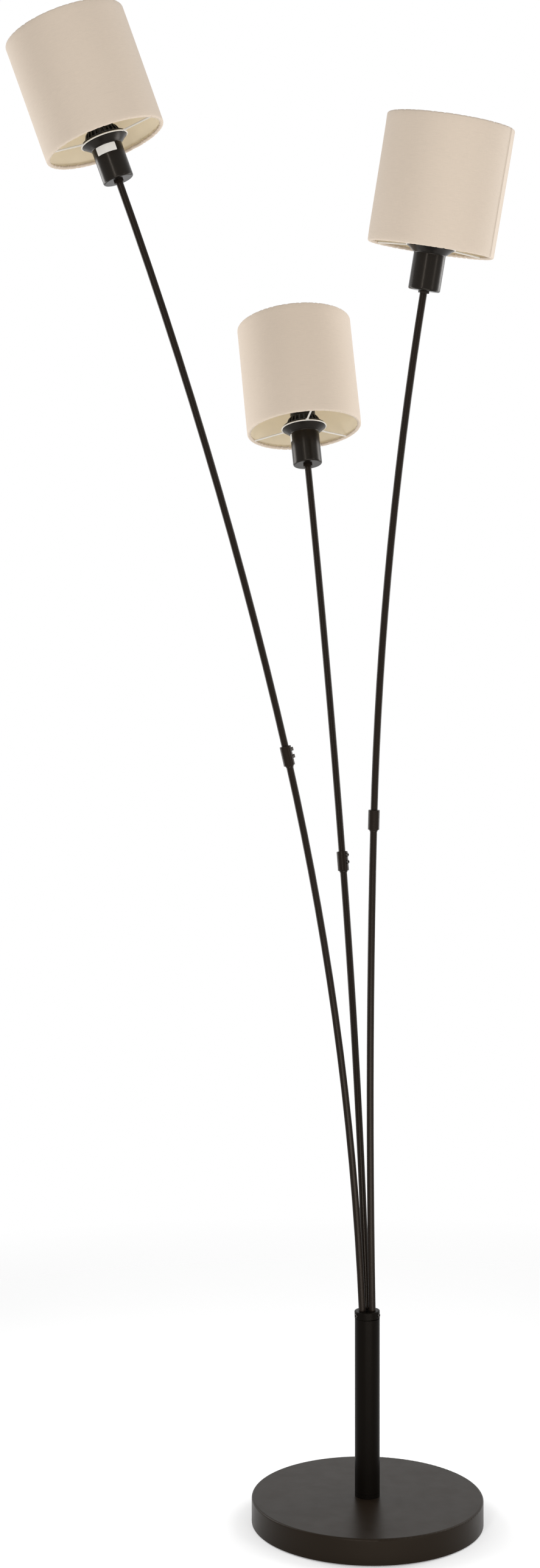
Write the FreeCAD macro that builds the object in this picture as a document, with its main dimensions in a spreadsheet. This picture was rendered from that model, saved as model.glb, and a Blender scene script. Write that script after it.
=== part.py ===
import FreeCAD, Part
import math
import os
from types import SimpleNamespace

import Sketcher

# A tree floor lamp: a round weighted base, a short column and three bent rods of different
# length, each with its own lamp holder and drum shade.
#
# The frame: origin at the centre of the base's underside, +Z up, the front is -Y.
# Lengths are in millimetres and angles in degrees.
# Everything on a rod is made about its own Z axis and placed by the rod's frames: the root
# (where the rod leaves the column's cap), the coupling and the seat (underside of the cup).

SIZES = [
    # base
    ("base_diameter", 250, "outside of the pressed base cover"),
    ("base_height", 28, "floor to the top of the base cover"),
    ("cover_sheet", 1.5, "sheet thickness of the base cover"),
    ("cover_edge", 2.2, "rounding of the cover's top edge"),
    ("cover_lift", 1, "floor to the lower edge of the cover"),
    ("pad_thickness", 2, "foam pad under the base"),
    ("pad_margin", 5, "cover's outside to the pad's edge"),
    ("weight_gap", 0.4, "cover's inside to the weight's rim"),
    ("weight_plate", 12, "thickness of the weight's plate"),
    ("weight_rim", 12, "width of the weight's outer rim"),
    ("weight_hub", 56, "diameter of the weight's hub"),
    ("nut_recess", 32, "diameter of the recess for the base nut"),
    ("nut_recess_depth", 13, "depth of that recess"),
    ("channel_width", 15, "cable channel through hub and rim"),
    ("channel_height", 15, "height of the cable channel about the inlet's axis"),
    # inlet at the back of the base
    ("inlet_height", 12, "floor to the inlet's axis"),
    ("inlet_hole", 10, "hole in the cover for the grommet"),
    ("inlet_bore", 6.6, "bore of the grommet, for a round cable"),
    ("grommet_flange", 14, "diameter of the grommet's two flanges"),
    ("grommet_lip", 1.6, "thickness of each flange"),
    # threaded tube that holds the column on the base
    ("stud_diameter", 10, "outside of the threaded tube"),
    ("stud_bore", 7.5, "bore of the threaded tube"),
    ("stud_tail", 3, "threaded tube below the base nut"),
    ("stud_reach", 17, "threaded tube above the base cover"),
    ("washer_diameter", 26, "washer under the base nut"),
    ("washer_thickness", 1.6, "thickness of that washer"),
    ("base_nut_flats", 16, "base nut across its flats"),
    ("base_nut_height", 5, "height of the base nut"),
    # column
    ("column_diameter", 27, "outside of the column's tube"),
    ("column_wall", 1.2, "wall of the column's tube"),
    ("column_length", 186.6, "length of the column's tube"),
    ("foot_ring", 5, "height of the ring at the column's foot"),
    ("foot_plug", 18, "length of the foot's plug inside the tube"),
    ("foot_play", 0.1, "foot plug to the tube, at each side"),
    # cap on the column
    ("cap_diameter", 27.4, "outside of the cap"),
    ("cap_height", 8, "height of the cap above the column"),
    ("cap_plug", 20, "length of the cap's plug inside the tube"),
    ("cap_play", 0.9, "cap plug to the tube, at each side"),
    ("cap_tilt", 1.8, "lean of the cap to the left, in degrees"),
    ("cap_edge", 0.8, "rounding of the cap's top edge"),
    ("rod_circle", 12.4, "diameter of the circle through the three rods"),
    ("rod_splay", 0.8, "outward lean of each rod's bore, in degrees"),
    ("running_play", 0.05, "rod to its bore, at each side"),
    ("clamp_screw", 4, "diameter of the clamping screws"),
    ("clamp_socket", 2, "screw's hexagon socket across its flats"),
    ("clamp_proud", 1.2, "screw's head outside the cap"),
    ("clamp_gap", 0.3, "cap screw's tip to the rod, slackened for turning"),
    # rods
    ("rod_diameter", 7.6, "outside of the rods"),
    ("rod_bore", 5.2, "bore of the rods"),
    ("rod_tail", 10, "rod below the cap's plug"),
    ("left_lower_length", 606, "left rod, cap to the coupling's middle"),
    ("left_lower_bend", 3179, "bend radius of that rod"),
    ("left_upper_length", 630.5, "left rod, coupling's middle to the cup"),
    ("left_upper_bend", 5244, "bend radius of that rod"),
    ("left_bend_turn", 197.4, "direction that the left rod bends to"),
    ("left_upper_turn", -21.8, "turn of the left upper rod in its coupling"),
    ("left_screw_turn", 163, "side of the coupling with its screws"),
    ("left_shade_turn", 34, "turn of the left shade's first arm"),
    ("middle_lower_length", 486.2, "middle rod, cap to the coupling's middle"),
    ("middle_lower_bend", 4134, "bend radius of that rod"),
    ("middle_upper_length", 453.5, "middle rod, coupling's middle to the cup"),
    ("middle_upper_bend", 9785, "bend radius of that rod"),
    ("middle_bend_turn", 109.6, "direction that the middle rod bends to"),
    ("middle_upper_turn", 11.6, "turn of the middle upper rod in its coupling"),
    ("middle_screw_turn", 210, "side of the coupling with its screws"),
    ("middle_shade_turn", 36, "turn of the middle shade's first arm"),
    ("right_lower_length", 531.4, "right rod, cap to the coupling's middle"),
    ("right_lower_bend", 6030, "bend radius of that rod"),
    ("right_upper_length", 553, "right rod, coupling's middle to the cup"),
    ("right_upper_bend", 3039, "bend radius of that rod"),
    ("right_bend_turn", 297.4, "direction that the right rod bends to"),
    ("right_upper_turn", 17.3, "turn of the right upper rod in its coupling"),
    ("right_screw_turn", 163, "side of the coupling with its screws"),
    ("right_shade_turn", 75, "turn of the right shade's first arm"),
    # couplings
    ("coupling_diameter", 12.2, "outside of a coupling"),
    ("coupling_length", 21, "length of a coupling"),
    ("coupling_edge", 0.5, "rounding of a coupling's top edge"),
    ("weld_height", 2, "weld below a coupling"),
    ("weld_width", 1.2, "width of the weld on the rod"),
    ("screw_from_top", 4.2, "coupling's top edge to its upper screw"),
    ("screw_pitch", 7.8, "distance between the two screws"),
    ("coupling_proud", 1.9, "screws outside the coupling"),
    ("joint_gap", 0.5, "gap between the two rods in a coupling"),
    ("joint_below", 15.5, "coupling's top edge to the upper rod's end"),
    # cup
    ("collar_flats", 10, "hexagon collar under the cup across its flats"),
    ("collar_height", 2.4, "height of that collar"),
    ("cup_diameter", 33, "outside of the cup"),
    ("cup_sheet", 1, "sheet thickness of the cup"),
    ("cup_edge", 1.8, "rounding of the cup's lower edge"),
    ("cup_neck", 37.5, "cup's underside to the start of its flare"),
    ("cup_height", 43.5, "height of the cup"),
    ("cup_rim", 48.6, "diameter of the cup's flared rim"),
    ("cup_rim_band", 0.8, "upright band at the rim"),
    ("rod_head", 7, "rod inside the cup"),
    ("locknut_flats", 12, "nut inside the cup across its flats"),
    ("locknut_height", 4, "height of that nut"),
    # lamp holder
    ("holder_play", 2, "holder's body to the cup's inside, at each side"),
    ("holder_floor", 13, "cup's underside to the holder's underside"),
    ("shoulder_play", 1.8, "holder's shoulder to the cup's rim, at each side"),
    ("sleeve_diameter", 28, "outside of the threaded sleeve"),
    ("sleeve_height", 24, "sleeve above the cup's rim"),
    ("sleeve_edge", 0.8, "chamfer at the sleeve's mouth"),
    ("shell_diameter", 15.6, "outside of the lamp cap's screw shell"),
    ("shell_sheet", 0.4, "sheet thickness of the screw shell"),
    ("shell_length", 23, "length of the screw shell"),
    ("shell_step", 1.5, "step that the screw shell stands on"),
    ("socket_depth", 30, "mouth of the sleeve to the socket's floor"),
    ("contact_width", 4.4, "width of the middle contact"),
    ("contact_sheet", 0.4, "thickness of the middle contact"),
    ("contact_length", 9, "length of the middle contact"),
    ("contact_rise", 2.6, "height of the middle contact"),
    # shade ring
    ("ring_diameter", 47.4, "flange of the shade ring"),
    ("ring_flange", 2.6, "height of that flange"),
    ("ring_waist", 33, "diameter of the ring's collar"),
    ("ring_height", 11, "height of the shade ring"),
    ("ring_play", 0.15, "shade ring to the threaded sleeve, at each side"),
    ("rib_count", 24, "ribs round the shade ring"),
    ("rib_width", 1.6, "width of a rib"),
    ("rib_foot", 4.2, "reach of a rib beyond the collar"),
    # shade
    ("shade_diameter", 130, "outside of a shade"),
    ("shade_height", 127, "height of a shade"),
    ("shade_cloth", 0.8, "cloth and its backing"),
    ("shade_below", 3, "lower edge of the shade below the cup's rim"),
    ("wire", 2, "diameter of the frame's wire"),
    ("hem_play", 0.1, "wire to the hem round it"),
    ("hub_plate", 1, "thickness of the frame's hub ring"),
    ("hub_diameter", 46, "outside of the frame's hub ring"),
    ("tab_width", 3.4, "tab of the hub ring that each arm is welded on"),
    ("tab_clear", 1.2, "cup's rim to the wire on the tab"),
    ("notch_width", 3.2, "opening in the hem for each arm"),
    # wiring
    ("lead", 3.4, "diameter of a rod's lead"),
    ("lead_turn", 14, "length of the lead's bend below the rod"),
    ("lead_above_block", 0.5, "end of a lead above the terminal block"),
    ("block_diameter", 21, "outside of the terminal block"),
    ("block_height", 16, "height of the terminal block"),
    ("block_hole", 4, "wire hole in the terminal block"),
]

ARMS = ["left", "right", "middle"]
HOLE_TURNS = {"left": 210, "right": 330, "middle": 90}


class Size:
    """A number with the spreadsheet formula that it comes from."""

    def __init__(self, value, formula):
        self.value = float(value)
        self.formula = formula

    def joined(self, other, sign, value):
        return Size(value, f"({self.formula} {sign} {as_size(other).formula})")

    def __add__(self, other):
        return self.joined(other, "+", self.value + as_size(other).value)

    def __sub__(self, other):
        return self.joined(other, "-", self.value - as_size(other).value)

    def __mul__(self, other):
        return self.joined(other, "*", self.value * as_size(other).value)

    def __truediv__(self, other):
        return self.joined(other, "/", self.value / as_size(other).value)

    def __neg__(self):
        return Size(-self.value, f"(0 - {self.formula})")


def as_size(number):
    return number if isinstance(number, Size) else Size(number, repr(float(number)))


def make_sheet(doc):
    sheet = doc.addObject("Spreadsheet::Sheet", "Sizes")
    for row, (name, value, meaning) in enumerate(SIZES, start=1):
        sheet.set(f"A{row}", name)
        sheet.set(f"B{row}", str(value))
        sheet.set(f"C{row}", meaning)
        sheet.setAlias(f"B{row}", name)
    doc.recompute()
    return SimpleNamespace(**{n: Size(sheet.get(n), f"Sizes.{n}") for n, _, _ in SIZES})


doc = FreeCAD.newDocument("TreeFloorLamp")
S = make_sheet(doc)
ZERO = as_size(0)


# ---- sketches ----------------------------------------------------------------------


def new_body(label, placement=None):
    body = doc.addObject("PartDesign::Body", label)
    body.Label = label
    if placement is not None:
        body.Placement = placement
    return body


def new_sketch(body, name, role="XZ_Plane", lift=None):
    sketch = body.newObject("Sketcher::SketchObject", name)
    plane = next(f for f in body.Origin.OriginFeatures if f.Role == role)
    sketch.AttachmentSupport = [(plane, "")]
    sketch.MapMode = "FlatFace"
    if lift is not None:
        sketch.setExpression(".AttachmentOffset.Base.z", lift.formula)
    return sketch


def bound(sketch, name, size, kind, *points):
    """Adds a dimension to a sketch and ties it to the size's formula."""
    number = sketch.addConstraint(Sketcher.Constraint(kind, *points, size.value))
    sketch.renameConstraint(number, name)
    if "Sizes." in size.formula:
        sketch.setExpression(f"Constraints.{name}", size.formula)


def pin_point(sketch, name, geometry, end, x, y):
    for axis, value, kind in ((-2, x, "DistanceX"), (-1, y, "DistanceY")):
        if value.formula == ZERO.formula:
            sketch.addConstraint(Sketcher.Constraint("PointOnObject", geometry, end, axis))
        else:
            bound(sketch, f"{name}_{kind[-1]}", value, kind, geometry, end)


def edge_between(start, end, radius, side):
    """A line, or the short arc of that radius which bulges to the left (side 1) or right (-1)."""
    a, b = FreeCAD.Vector(*start, 0), FreeCAD.Vector(*end, 0)
    if radius is None:
        return Part.LineSegment(a, b)
    along = b - a
    half = along.Length / 2
    rise = radius.value - math.sqrt(max(radius.value**2 - half**2, 0))
    left = FreeCAD.Vector(-along.y, along.x, 0).normalize()
    return Part.Arc(a, (a + b) * 0.5 + left * (side * rise), b)


def outline(sketch, corners, name="p"):
    """A closed outline. A corner is (x, y), or (x, y, radius, side) where an arc leads to it."""
    corners = [tuple(as_size(v) for v in c[:3]) + tuple(c[3:]) for c in corners]
    first = sketch.GeometryCount
    count = len(corners)
    for i, corner in enumerate(corners):
        before = corners[i - 1]
        radius, side = (corner[2], corner[3]) if len(corner) == 4 else (None, 0)
        edge = edge_between((before[0].value, before[1].value),
                            (corner[0].value, corner[1].value), radius, side)
        sketch.addGeometry(edge, False)
    for i, corner in enumerate(corners):
        here, following = first + i, first + (i + 1) % count
        reversed_here = is_reversed(sketch, here, corner)
        reversed_next = is_reversed(sketch, following, corners[(i + 1) % count])
        end = 1 if reversed_here else 2
        start = 2 if reversed_next else 1
        sketch.addConstraint(Sketcher.Constraint("Coincident", here, end, following, start))
        pin_point(sketch, f"{name}{i}", here, end, corner[0], corner[1])
        if len(corner) == 4:
            bound(sketch, f"{name}{i}_R", corner[2], "Radius", here)


def is_reversed(sketch, geometry, corner):
    """Whether an arc, which always runs anticlockwise, ends where its outline's edge starts."""
    end = sketch.getPoint(geometry, 2)
    return math.hypot(end.x - corner[0].value, end.y - corner[1].value) > 1e-6


def circle(sketch, diameter, x=ZERO, y=ZERO, name="c"):
    place = FreeCAD.Vector(x.value, y.value, 0)
    geometry = sketch.addGeometry(Part.Circle(place, FreeCAD.Vector(0, 0, 1), diameter.value / 2))
    pin_point(sketch, name, geometry, 3, x, y)
    bound(sketch, f"{name}_D", diameter, "Diameter", geometry)


def polygon(sketch, flats, sides=6, name="n"):
    """A regular polygon about the origin, from the width across its flats."""
    corner = flats * (0.5 / math.cos(math.pi / sides))
    turns = [2 * math.pi * (i + 0.5) / sides for i in range(sides)]
    outline(sketch, [(corner * math.cos(t), corner * math.sin(t)) for t in turns], name)


# ---- features ----------------------------------------------------------------------


def add_feature(body, kind, name, sketch):
    feature = body.newObject(f"PartDesign::{kind}", name)
    feature.Profile = sketch
    sketch.Visibility = False
    return feature


def revolve(body, corners, name="Turned"):
    sketch = new_sketch(body, name + "Profile")
    outline(sketch, corners)
    feature = add_feature(body, "Revolution", name, sketch)
    feature.ReferenceAxis = (sketch, ["V_Axis"])
    feature.Angle = 360
    return feature


def pad(body, sketch, length, name="Pad"):
    feature = add_feature(body, "Pad", name, sketch)
    feature.setExpression("Length", length.formula)
    return feature


def cut(body, sketch, length, backwards=False, name="Cut", both_ways=False):
    """A pocket into the body, which must take material away."""
    doc.recompute()
    before = body.Shape.Volume
    feature = add_feature(body, "Pocket", name, sketch)
    feature.setExpression("Length", length.formula)
    feature.Reversed = backwards
    if both_ways:
        feature.SideType = "Symmetric"
    doc.recompute()
    if not body.Shape.Volume < before - 1e-3:
        raise RuntimeError(f"{body.Label}: {name} cuts nothing")
    return feature


def polar(body, feature, count, name="Ring"):
    """Copies a feature round the body's Z axis."""
    doc.recompute()
    pattern = body.newObject("PartDesign::PolarPattern", name)
    pattern.Originals = [feature]
    axis = next(f for f in body.Origin.OriginFeatures if f.Role == "Z_Axis")
    pattern.Axis = (axis, [""])
    pattern.Angle = 360
    if isinstance(count, Size):
        pattern.setExpression("Occurrences", count.formula)
    else:
        pattern.Occurrences = count
    body.Tip = pattern
    doc.recompute()
    return pattern


def tube(body, outside, bore, bottom, top, name="Turned"):
    return revolve(body, [(bore / 2, bottom), (outside / 2, bottom),
                          (outside / 2, top), (bore / 2, top)], name)


def drilled_nut(label, flats, bore, height, placement):
    """A hexagon nut standing on its frame's XY plane."""
    body = new_body(label, placement)
    sketch = new_sketch(body, "NutOutline", "XY_Plane")
    polygon(sketch, flats)
    circle(sketch, bore)
    pad(body, sketch, height)
    return body


def at(x, y, z, axis=(0, 0, 1), degrees=0):
    return FreeCAD.Placement(FreeCAD.Vector(x, y, z), FreeCAD.Rotation(FreeCAD.Vector(*axis), degrees))


# ---- base --------------------------------------------------------------------------

base_top = S.base_height
base_inside = base_top - S.cover_sheet
weight_underside = S.pad_thickness
weight_radius = S.base_diameter / 2 - S.cover_sheet - S.weight_gap
stud_hole = S.stud_diameter + S.running_play * 4


def make_base_cover():
    body = new_body("base_cover")
    outer, sheet, edge = S.base_diameter / 2, S.cover_sheet, S.cover_edge
    revolve(body, [
        (stud_hole / 2, base_top),
        (stud_hole / 2, base_inside),
        (outer - edge, base_inside),
        (outer - sheet, base_top - edge, edge - sheet, 1),
        (outer - sheet, S.cover_lift),
        (outer, S.cover_lift),
        (outer, base_top - edge),
        (outer - edge, base_top, edge, -1),
    ])
    inlet = new_sketch(body, "InletHole")
    circle(inlet, S.inlet_hole, y=S.inlet_height)
    cut(body, inlet, S.base_diameter / 2 + 1, name="Inlet")


def make_base_weight():
    body = new_body("base_weight")
    low, high = weight_underside, base_inside
    plate = high - S.weight_plate
    revolve(body, [
        (stud_hole / 2, high),
        (stud_hole / 2, low + S.nut_recess_depth),
        (S.nut_recess / 2, low + S.nut_recess_depth),
        (S.nut_recess / 2, low),
        (S.weight_hub / 2, low),
        (S.weight_hub / 2, plate),
        (weight_radius - S.weight_rim, plate),
        (weight_radius - S.weight_rim, low),
        (weight_radius, low),
        (weight_radius, high - S.cover_edge),
        (weight_radius - S.cover_edge, high),
    ])
    channel = new_sketch(body, "CableChannel")
    half = S.channel_width / 2
    top = S.inlet_height + S.channel_height / 2
    outline(channel, [(-half, low - 1), (half, low - 1), (half, top), (-half, top)])
    cut(body, channel, S.base_diameter / 2, name="Channel")


def make_base_pad():
    body = new_body("base_pad")
    disc = new_sketch(body, "Disc", "XY_Plane")
    circle(disc, S.base_diameter - S.pad_margin * 2)
    pad(body, disc, S.pad_thickness)


def make_stud_and_nut():
    recess = weight_underside + S.nut_recess_depth
    nut_top = recess - S.washer_thickness
    nut_bottom = nut_top - S.base_nut_height
    tube(new_body("base_stud"), S.stud_diameter, S.stud_bore,
         nut_bottom - S.stud_tail, base_top + S.stud_reach)
    tube(new_body("base_washer"), S.washer_diameter, stud_hole, nut_top, recess)
    drilled_nut("base_nut", S.base_nut_flats, stud_hole, S.base_nut_height,
                at(0, 0, nut_bottom.value))


def make_inlet_grommet():
    """A rubber grommet in the back of the cover, its axis along +Y."""
    body = new_body("inlet_grommet", at(0, S.base_diameter.value / 2, S.inlet_height.value,
                                        (1, 0, 0), -90))
    bore, flange, neck = S.inlet_bore / 2, S.grommet_flange / 2, S.inlet_hole / 2 - S.running_play
    inside, lip = -S.cover_sheet - 0.4, S.grommet_lip
    revolve(body, [
        (bore, inside - lip),
        (neck + 1.2, inside - lip),
        (flange, inside - 0.4),
        (flange, inside),
        (neck, inside),
        (neck, as_size(0.05)),
        (flange, as_size(0.05)),
        (flange, lip * 0.5),
        (bore + 1.2, lip + 1.4),
        (bore, lip + 1.4),
    ])


# ---- column ------------------------------------------------------------------------

column_bottom = base_top + S.foot_ring
column_top = column_bottom + S.column_length
column_bore = S.column_diameter - S.column_wall * 2


def make_column():
    tube(new_body("column_tube"), S.column_diameter, column_bore, column_bottom, column_top)
    body = new_body("column_foot")
    plug = column_bore / 2 - S.foot_play
    groove = S.column_diameter / 2 - 0.5
    revolve(body, [
        (S.stud_diameter / 2 + S.running_play, base_top),
        (S.column_diameter / 2, base_top),
        (S.column_diameter / 2, column_bottom - 0.6),
        (groove, column_bottom - 0.6),
        (groove, column_bottom),
        (plug, column_bottom),
        (plug, column_bottom + S.foot_plug - 1),
        (plug - 1, column_bottom + S.foot_plug),
        (S.stud_diameter / 2 + S.running_play, column_bottom + S.foot_plug),
    ])


def cap_frame():
    """The middle of the cap's underside: the cap leans and rests on the tube's left edge."""
    tilt = math.radians(S.cap_tilt.value)
    rise = S.cap_diameter.value / 2 * math.sin(tilt)
    return at(0, 0, column_top.value + rise, (0, 1, 0), -S.cap_tilt.value)


CAP = cap_frame()
rod_hole = S.rod_diameter + S.running_play * 2


def make_column_cap():
    body = new_body("column_cap", CAP)
    outer, top = S.cap_diameter / 2, S.cap_height
    plug = column_bore / 2 - S.cap_play
    revolve(body, [
        (ZERO, -S.cap_plug),
        (plug - 0.8, -S.cap_plug),
        (plug, -S.cap_plug + 0.8),
        (plug, ZERO),
        (outer - 0.4, ZERO),
        (outer, as_size(0.4)),
        (outer, top - S.cap_edge),
        (outer - S.cap_edge, top, S.cap_edge, -1),
        (ZERO, top),
    ])
    bore = new_sketch(body, "RodBore", "XY_Plane")
    bore.AttachmentOffset = at(0, 0, 0, (-1, 0, 0), S.rod_splay.value)
    bore.setExpression(".AttachmentOffset.Base.y", (S.rod_circle / 2).formula)
    bore.setExpression(".AttachmentOffset.Base.z", top.formula)
    bore.setExpression(".AttachmentOffset.Rotation.Angle", S.rod_splay.formula)
    circle(bore, rod_hole)
    drilled = cut(body, bore, (S.cap_plug + top + 1) * 2, name="Bore", both_ways=True)
    polar(body, drilled, 3, "RodBores")
    tapped = new_sketch(body, "ScrewHole")
    circle(tapped, S.clamp_screw + S.running_play * 2, y=top / 2)
    polar(body, cut(body, tapped, outer + 1, name="Tapped"), 3, "ScrewHoles")


def set_screw(diameter, socket, length):
    """A headless screw along +Z with a hexagon socket in its outer end and a cone point."""
    point = diameter / 4
    across = 2 * (diameter / 2 - 0.3)
    body = Part.makeCylinder(diameter / 2, length - point - 0.3, FreeCAD.Vector(0, 0, point))
    tip = Part.makeCone(diameter / 4, diameter / 2, point)
    head = Part.makeCone(diameter / 2, across / 2, 0.3, FreeCAD.Vector(0, 0, length - 0.3))
    corner = socket / 2 / math.cos(math.pi / 6)
    turns = [math.pi / 3 * (i + 0.5) for i in range(7)]
    ring = [FreeCAD.Vector(corner * math.cos(t), corner * math.sin(t), length - socket)
            for t in turns]
    recess = Part.Face(Part.makePolygon(ring)).extrude(FreeCAD.Vector(0, 0, socket + 1))
    return body.fuse([tip, head]).removeSplitter().cut(recess)


def screw_group(label, reach, length, places, frame):
    """Clamping screws that point at an axis; places holds the height and turn of each."""
    group = doc.addObject("Part::Feature", label)
    group.Label = label
    screws = []
    for height, turn, centre in places:
        screw = set_screw(S.clamp_screw.value, S.clamp_socket.value, length)
        outward = at(*centre, height, (0, 0, 1), turn).multiply(at(reach, 0, 0, (0, 1, 0), 90))
        screw.Placement = outward
        screws.append(screw)
    group.Shape = Part.makeCompound(screws)
    group.Placement = frame
    return group


def make_cap_screws():
    tip = (S.rod_circle + S.rod_diameter).value / 2 + S.clamp_gap.value
    length = S.cap_diameter.value / 2 + S.clamp_proud.value - tip
    places = [(S.cap_height.value / 2, HOLE_TURNS[arm], (0, 0)) for arm in ARMS]
    screw_group("cap_screws", tip, length, places, CAP)


# ---- frames of the arms ------------------------------------------------------------


def along_arc(radius, length):
    """The frame at the end of an arc that starts along +Z and bends towards +X."""
    angle = length / radius
    place = FreeCAD.Vector(radius * (1 - math.cos(angle)), 0, radius * math.sin(angle))
    return FreeCAD.Placement(place, FreeCAD.Rotation(FreeCAD.Vector(0, 1, 0), math.degrees(angle)))


def arm_sizes(arm):
    prefix = arm + "_"
    own = {n[len(prefix):]: getattr(S, n) for n, _, _ in SIZES if n.startswith(prefix)}
    return SimpleNamespace(**own)


def arm_frames(arm):
    """Root, coupling, upper rod and seat of an arm, in the lamp's frame."""
    own = arm_sizes(arm)
    turn = math.radians(HOLE_TURNS[arm])
    radius = S.rod_circle.value / 2
    hole = at(radius * math.cos(turn), radius * math.sin(turn), S.cap_height.value)
    splay = at(0, 0, 0, (-math.sin(turn), math.cos(turn), 0), S.rod_splay.value)
    root = turned(CAP.multiply(hole).multiply(splay), own.bend_turn.value)
    coupling = root.multiply(along_arc(own.lower_bend.value, own.lower_length.value))
    upper = turned(coupling, own.upper_turn.value)
    seat = upper.multiply(along_arc(own.upper_bend.value, own.upper_length.value))
    return SimpleNamespace(root=root, coupling=coupling, upper=upper, seat=seat)


def turned(frame, degrees):
    return frame.multiply(at(0, 0, 0, (0, 0, 1), degrees))


def lifted(frame, height):
    return frame.multiply(at(0, 0, height))


# ---- rods and couplings ------------------------------------------------------------


def bent_tube(body, start, arc_radius, arc_length, end):
    """A tube along a straight length, an arc and a straight length; the arc starts at the origin."""
    profile = new_sketch(body, "Section", "XY_Plane", -start)
    circle(profile, S.rod_diameter, name="outer")
    circle(profile, S.rod_bore, name="inner")
    path = new_sketch(body, "Path")
    radius, angle = arc_radius.value, arc_length.value / arc_radius.value
    leave = FreeCAD.Vector(radius * (1 - math.cos(angle)), radius * math.sin(angle), 0)
    ahead = FreeCAD.Vector(math.sin(angle), math.cos(angle), 0)
    middle = FreeCAD.Vector(radius * (1 - math.cos(angle / 2)), radius * math.sin(angle / 2), 0)
    origin = FreeCAD.Vector(0, 0, 0)
    path.addGeometry(Part.LineSegment(FreeCAD.Vector(0, -start.value, 0), origin))
    path.addGeometry(Part.Arc(origin, middle, leave))
    path.addGeometry(Part.LineSegment(leave, leave + ahead * end.value))
    # the arc runs anticlockwise, so it starts at its upper end
    pin_point(path, "foot", 0, 1, ZERO, -start)
    path.addConstraint(Sketcher.Constraint("PointOnObject", 0, 2, -2))
    path.addConstraint(Sketcher.Constraint("PointOnObject", 0, 2, -1))
    path.addConstraint(Sketcher.Constraint("Coincident", 0, 2, 1, 2))
    path.addConstraint(Sketcher.Constraint("PointOnObject", 1, 3, -1))
    path.addConstraint(Sketcher.Constraint("Tangent", 1, 1, 2, 1))
    bound(path, "bend", arc_radius, "Radius", 1)
    bound(path, "swept", arc_length / arc_radius * (180 / math.pi), "Angle", 1)
    bound(path, "head", end, "Distance", 2)
    pipe = body.newObject("PartDesign::AdditivePipe", "Bent")
    pipe.Profile = profile
    pipe.Spine = (path, ["Edge1", "Edge2", "Edge3"])
    pipe.Transition = "Transformed"
    profile.Visibility = False
    path.Visibility = False
    doc.recompute()
    area = math.pi / 4 * (S.rod_diameter.value**2 - S.rod_bore.value**2)
    run = start.value + arc_length.value + end.value
    if abs(pipe.Shape.Volume / (area * run) - 1) > 0.001:
        raise RuntimeError(f"{body.Label}: the tube's volume isn't its section times its length")


def make_lower_rod(arm, frames):
    own = arm_sizes(arm)
    start = S.cap_height + S.cap_plug + S.rod_tail
    short = S.joint_below + S.joint_gap - S.coupling_length / 2
    body = new_body(f"{arm}_lower_rod", frames.root)
    bent_tube(body, start, own.lower_bend, own.lower_length - short, as_size(0.01))


def make_upper_rod(arm, frames):
    own = arm_sizes(arm)
    start = S.joint_below - S.coupling_length / 2
    body = new_body(f"{arm}_upper_rod", frames.upper)
    bent_tube(body, start, own.upper_bend, own.upper_length, S.rod_head)


def make_coupling(arm, frames):
    own = arm_sizes(arm)
    body = new_body(f"{arm}_coupling", turned(frames.coupling, own.screw_turn.value))
    half, outer, bore = S.coupling_length / 2, S.coupling_diameter / 2, rod_hole / 2
    revolve(body, [
        (bore, -half - S.weld_height),
        (bore + 0.3, -half - S.weld_height),
        (bore + S.weld_width, -half, S.weld_height * 1.6, 1),
        (outer, -half),
        (outer, half - S.coupling_edge),
        (outer - S.coupling_edge, half, S.coupling_edge, -1),
        (bore, half),
    ])
    tapped = new_sketch(body, "ScrewHoles", "YZ_Plane")
    for i in range(2):
        circle(tapped, S.clamp_screw + S.running_play * 2,
               y=half - S.screw_from_top - S.screw_pitch * i, name=f"c{i}")
    cut(body, tapped, outer + 1, backwards=True, name="Tapped")
    tip = S.rod_diameter.value / 2 + S.running_play.value
    length = outer.value + S.coupling_proud.value - tip
    heights = [(half - S.screw_from_top - S.screw_pitch * i).value for i in range(2)]
    screw_group(f"{arm}_coupling_screws", tip, length, [(z, 0, (0, 0)) for z in heights],
                turned(frames.coupling, own.screw_turn.value))


# ---- cup and lamp holder -----------------------------------------------------------


def make_cup(arm, frames):
    drilled_nut(f"{arm}_collar", S.collar_flats, rod_hole, S.collar_height,
                lifted(frames.seat, -S.collar_height.value))
    body = new_body(f"{arm}_cup", frames.seat)
    outer, sheet, edge = S.cup_diameter / 2, S.cup_sheet, S.cup_edge
    rim, neck, top, band = S.cup_rim / 2, S.cup_neck, S.cup_height, S.cup_rim_band
    revolve(body, [
        (rod_hole / 2, ZERO),
        (outer - edge, ZERO),
        (outer, edge, edge, -1),
        (outer, neck - 1.2),
        (outer + 1.2, neck, as_size(1.2), 1),
        (rim, top - band, S.cup_rim, 1),
        (rim, top),
        (rim - sheet, top),
        (rim - sheet, top - band + 0.2),
        (outer + 1.2 - sheet * 0.4, neck + sheet, S.cup_rim, -1),
        (outer - sheet, neck - 0.2, as_size(1.4), -1),
        (outer - sheet, edge),
        (outer - edge, sheet, edge - sheet, 1),
        (rod_hole / 2, sheet),
    ])
    drilled_nut(f"{arm}_locknut", S.locknut_flats, rod_hole, S.locknut_height,
                lifted(frames.seat, S.cup_sheet.value))


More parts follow.
